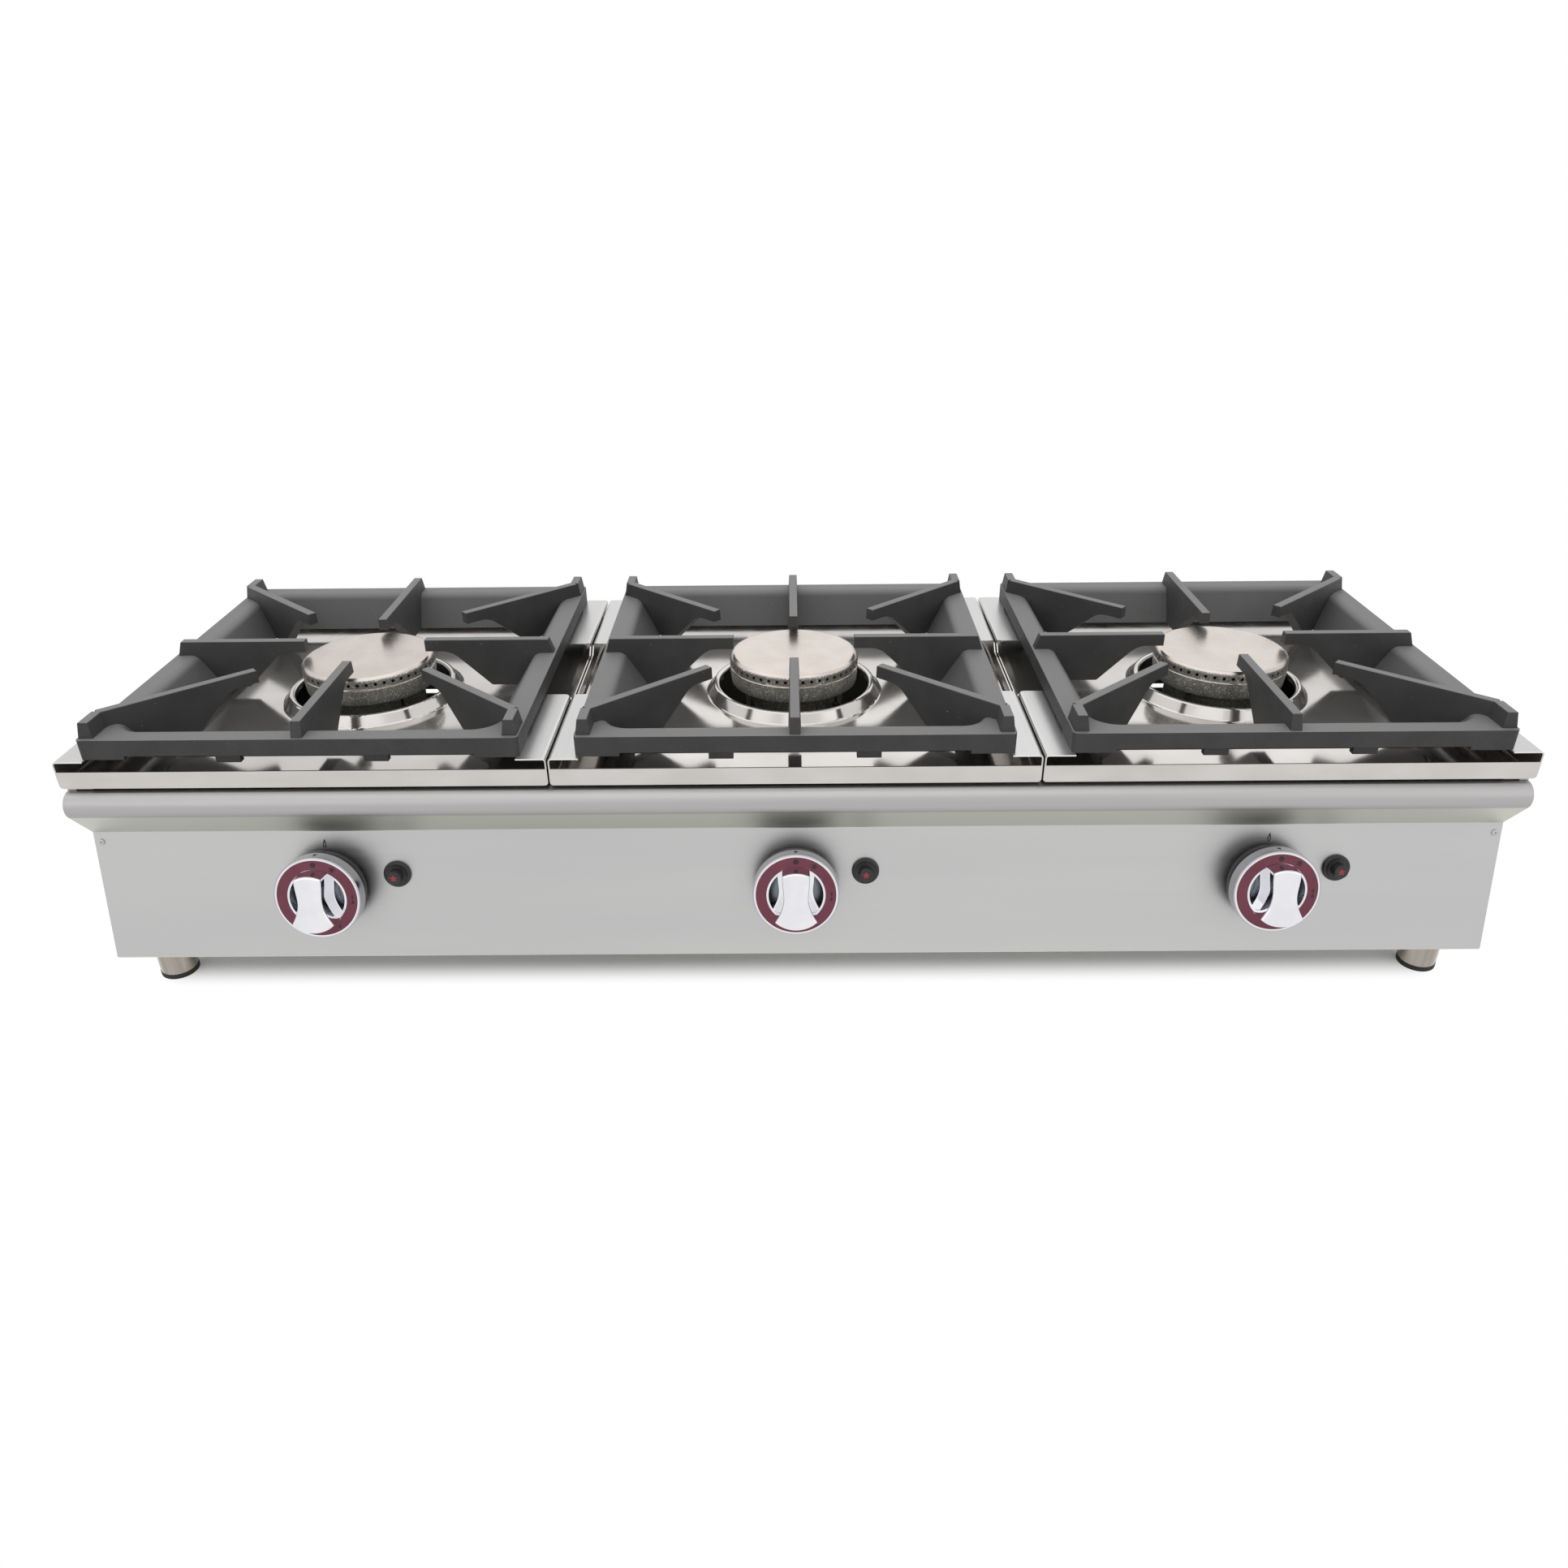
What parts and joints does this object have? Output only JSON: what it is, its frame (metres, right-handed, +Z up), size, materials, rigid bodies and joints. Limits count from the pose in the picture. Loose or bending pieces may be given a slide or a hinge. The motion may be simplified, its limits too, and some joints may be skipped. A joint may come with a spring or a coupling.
{
  "type": "countertop gas range",
  "caption": "low steel countertop gas range with open burners side by side, cast pan supports over lift-out drip trays, a tilted control panel with round knobs, and short legs",
  "frame": {"origin": "on the worktop under the middle of the range, at the feet's undersides", "axes": "+X to the right as seen by the cook, +Y to the back, +Z up"},
  "size_m": [1.1986, 0.4518, 0.2658],
  "materials": {
    "panel_sheet": "brushed",
    "tray_sheet": "polished",
    "inner_sheet": "plain sheet",
    "grate_iron": "matt enamelled",
    "burner_iron": "as cast",
    "cap_steel": "satin with cast skirt",
    "knob_chrome": "bright plated",
    "dial_paint": "satin with printed marks",
    "knob_plastic": "moulded",
    "igniter_plastic": "moulded",
    "leg_chrome": "bright",
    "pad_rubber": "moulded",
    "brass": "machined",
    "pipe_aluminium": "drawn",
    "tube_steel": "drawn tube",
    "fastener_steel": "bright",
    "electrode_ceramic": "glazed",
    "lead_rubber": "silicone sleeve",
    "thermocouple_copper": "drawn copper"
  },
  "bodies": {
    "body": {"front_panel": "panel_sheet", "side_panel_left": "panel_sheet", "side_panel_right": "panel_sheet", "rear_panel": "panel_sheet", "base_pan": "inner_sheet", "tray_rails": "inner_sheet", "burner_rails": "inner_sheet", "panel_rivets": "fastener_steel", "rear_screws": "fastener_steel", "burner_screws": "fastener_steel", "legs": "leg_chrome", "leg_nuts": "fastener_steel", "gas_manifold": "tube_steel", "gas_inlet": "brass", "gas_pipes": "pipe_aluminium", "injectors": "brass", "ignition_leads": "lead_rubber", "electrodes": "electrode_ceramic", "thermocouples": "thermocouple_copper", "burner_body_left": "burner_iron", "gas_valve_left": "brass", "igniter_body_left": "igniter_plastic", "burner_body_middle": "burner_iron", "gas_valve_middle": "brass", "igniter_body_middle": "igniter_plastic", "burner_body_right": "burner_iron", "gas_valve_right": "brass", "igniter_body_right": "igniter_plastic"},
    "push_left": {"push_rod_left": "brass"},
    "knob_left": {"valve_spindle_left": "fastener_steel", "knob_body_left": "knob_chrome", "knob_dial_left": "dial_paint", "knob_skirt_left": "knob_plastic"},
    "igniter_left": {"igniter_button_left": "igniter_plastic"},
    "tray_left": {"drip_tray_left": "tray_sheet"},
    "support_left": {"pan_support_left": "grate_iron"},
    "cap_left": {"burner_cap_left": "cap_steel"},
    "push_middle": {"push_rod_middle": "brass"},
    "knob_middle": {"valve_spindle_middle": "fastener_steel", "knob_body_middle": "knob_chrome", "knob_dial_middle": "dial_paint", "knob_skirt_middle": "knob_plastic"},
    "igniter_middle": {"igniter_button_middle": "igniter_plastic"},
    "tray_middle": {"drip_tray_middle": "tray_sheet"},
    "support_middle": {"pan_support_middle": "grate_iron"},
    "cap_middle": {"burner_cap_middle": "cap_steel"},
    "push_right": {"push_rod_right": "brass"},
    "knob_right": {"valve_spindle_right": "fastener_steel", "knob_body_right": "knob_chrome", "knob_dial_right": "dial_paint", "knob_skirt_right": "knob_plastic"},
    "igniter_right": {"igniter_button_right": "igniter_plastic"},
    "tray_right": {"drip_tray_right": "tray_sheet"},
    "support_right": {"pan_support_right": "grate_iron"},
    "cap_right": {"burner_cap_right": "cap_steel"},
    "pad_front_left": {"leg_pad_front_left": "pad_rubber"},
    "pad_front_right": {"leg_pad_front_right": "pad_rubber"},
    "pad_rear_left": {"leg_pad_rear_left": "pad_rubber"},
    "pad_rear_right": {"leg_pad_rear_right": "pad_rubber"}
  },
  "joints": [
    {"name": "knob_push_left", "type": "slide", "parent": "body", "child": "push_left", "axis": [0, 0.9806, -0.1959], "range_m": [0, 0.004], "stiffness_N_per_m": 2000, "springref_m": -0.004},
    {"name": "knob_turn_left", "type": "hinge", "parent": "push_left", "child": "knob_left", "pos_m": [-0.4, -0.17719, 0.11217], "axis": [0, -0.9806, 0.1959], "range_deg": [0, 165]},
    {"name": "igniter_press_left", "type": "slide", "parent": "body", "child": "igniter_left", "axis": [0, 0.9806, -0.1959], "range_m": [0, 0.006], "stiffness_N_per_m": 500, "springref_m": -0.004},
    {"name": "tray_lift_left", "type": "slide", "parent": "body", "child": "tray_left", "axis": [0, 0, 1], "range_m": [0, 0.1]},
    {"name": "support_lift_left", "type": "slide", "parent": "tray_left", "child": "support_left", "axis": [0, 0, 1], "range_m": [0, 0.1]},
    {"name": "cap_lift_left", "type": "slide", "parent": "body", "child": "cap_left", "axis": [0, 0, 1], "range_m": [0, 0.05]},
    {"name": "knob_push_middle", "type": "slide", "parent": "body", "child": "push_middle", "axis": [0, 0.9806, -0.1959], "range_m": [0, 0.004], "stiffness_N_per_m": 2000, "springref_m": -0.004},
    {"name": "knob_turn_middle", "type": "hinge", "parent": "push_middle", "child": "knob_middle", "pos_m": [0, -0.17719, 0.11217], "axis": [0, -0.9806, 0.1959], "range_deg": [0, 165]},
    {"name": "igniter_press_middle", "type": "slide", "parent": "body", "child": "igniter_middle", "axis": [0, 0.9806, -0.1959], "range_m": [0, 0.006], "stiffness_N_per_m": 500, "springref_m": -0.004},
    {"name": "tray_lift_middle", "type": "slide", "parent": "body", "child": "tray_middle", "axis": [0, 0, 1], "range_m": [0, 0.1]},
    {"name": "support_lift_middle", "type": "slide", "parent": "tray_middle", "child": "support_middle", "axis": [0, 0, 1], "range_m": [0, 0.1]},
    {"name": "cap_lift_middle", "type": "slide", "parent": "body", "child": "cap_middle", "axis": [0, 0, 1], "range_m": [0, 0.05]},
    {"name": "knob_push_right", "type": "slide", "parent": "body", "child": "push_right", "axis": [0, 0.9806, -0.1959], "range_m": [0, 0.004], "stiffness_N_per_m": 2000, "springref_m": -0.004},
    {"name": "knob_turn_right", "type": "hinge", "parent": "push_right", "child": "knob_right", "pos_m": [0.4, -0.17719, 0.11217], "axis": [0, -0.9806, 0.1959], "range_deg": [0, 165]},
    {"name": "igniter_press_right", "type": "slide", "parent": "body", "child": "igniter_right", "axis": [0, 0.9806, -0.1959], "range_m": [0, 0.006], "stiffness_N_per_m": 500, "springref_m": -0.004},
    {"name": "tray_lift_right", "type": "slide", "parent": "body", "child": "tray_right", "axis": [0, 0, 1], "range_m": [0, 0.1]},
    {"name": "support_lift_right", "type": "slide", "parent": "tray_right", "child": "support_right", "axis": [0, 0, 1], "range_m": [0, 0.1]},
    {"name": "cap_lift_right", "type": "slide", "parent": "body", "child": "cap_right", "axis": [0, 0, 1], "range_m": [0, 0.05]},
    {"name": "pad_screw_front_left", "type": "slide", "parent": "body", "child": "pad_front_left", "axis": [0, 0, -1], "range_m": [0, 0.015]},
    {"name": "pad_screw_front_right", "type": "slide", "parent": "body", "child": "pad_front_right", "axis": [0, 0, -1], "range_m": [0, 0.015]},
    {"name": "pad_screw_rear_left", "type": "slide", "parent": "body", "child": "pad_rear_left", "axis": [0, 0, -1], "range_m": [0, 0.015]},
    {"name": "pad_screw_rear_right", "type": "slide", "parent": "body", "child": "pad_rear_right", "axis": [0, 0, -1], "range_m": [0, 0.015]}
  ],
  "couplings": [
    {"joint": "cap_lift_left", "follows": "support_lift_left", "ratio": 0.5},
    {"joint": "cap_lift_middle", "follows": "support_lift_middle", "ratio": 0.5},
    {"joint": "cap_lift_right", "follows": "support_lift_right", "ratio": 0.5}
  ]
}
